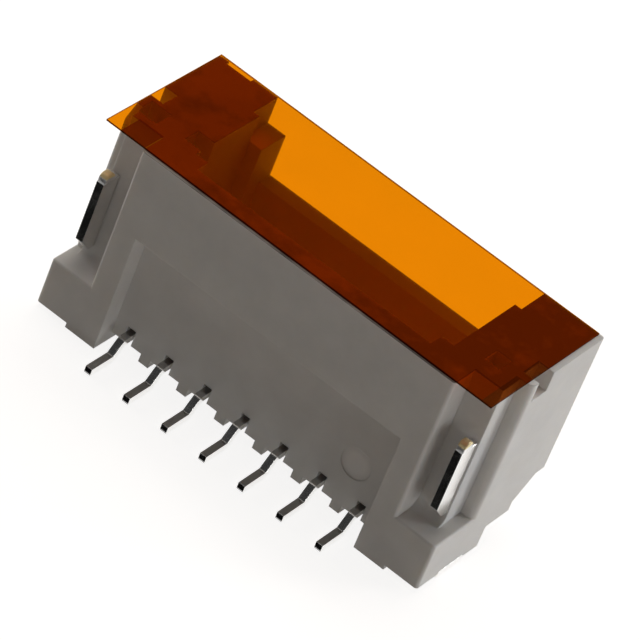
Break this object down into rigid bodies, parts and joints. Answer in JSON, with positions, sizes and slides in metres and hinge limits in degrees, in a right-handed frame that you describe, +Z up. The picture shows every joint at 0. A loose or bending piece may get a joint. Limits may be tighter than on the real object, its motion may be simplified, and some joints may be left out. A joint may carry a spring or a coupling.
{
  "type": "wire-to-board header",
  "caption": "Upright surface-mount wire-to-board header: an off-white shrouded housing with gull-wing tails, metal end nails and an amber cover film.",
  "frame": {"origin": "middle of the footprint, on the board", "axes": "+X along the contact row, -Y the side where the tails come out, +Z up from the board through the mouth"},
  "size_m": [0.0124, 0.0058, 0.0061],
  "materials": {
    "housing": "off-white moulded plastic, fine matte",
    "nail": "tin-plated strip, bright",
    "contact": "tin-plated strip, bright",
    "film": "amber polyimide film, clear and glossy"
  },
  "bodies": {
    "root": {"housing": "housing", "nail_right": "nail", "nail_left": "nail", "cover_film": "film", "contact_1": "contact", "contact_2": "contact", "contact_3": "contact", "contact_4": "contact", "contact_5": "contact", "contact_6": "contact", "contact_7": "contact"}
  },
  "joints": []
}
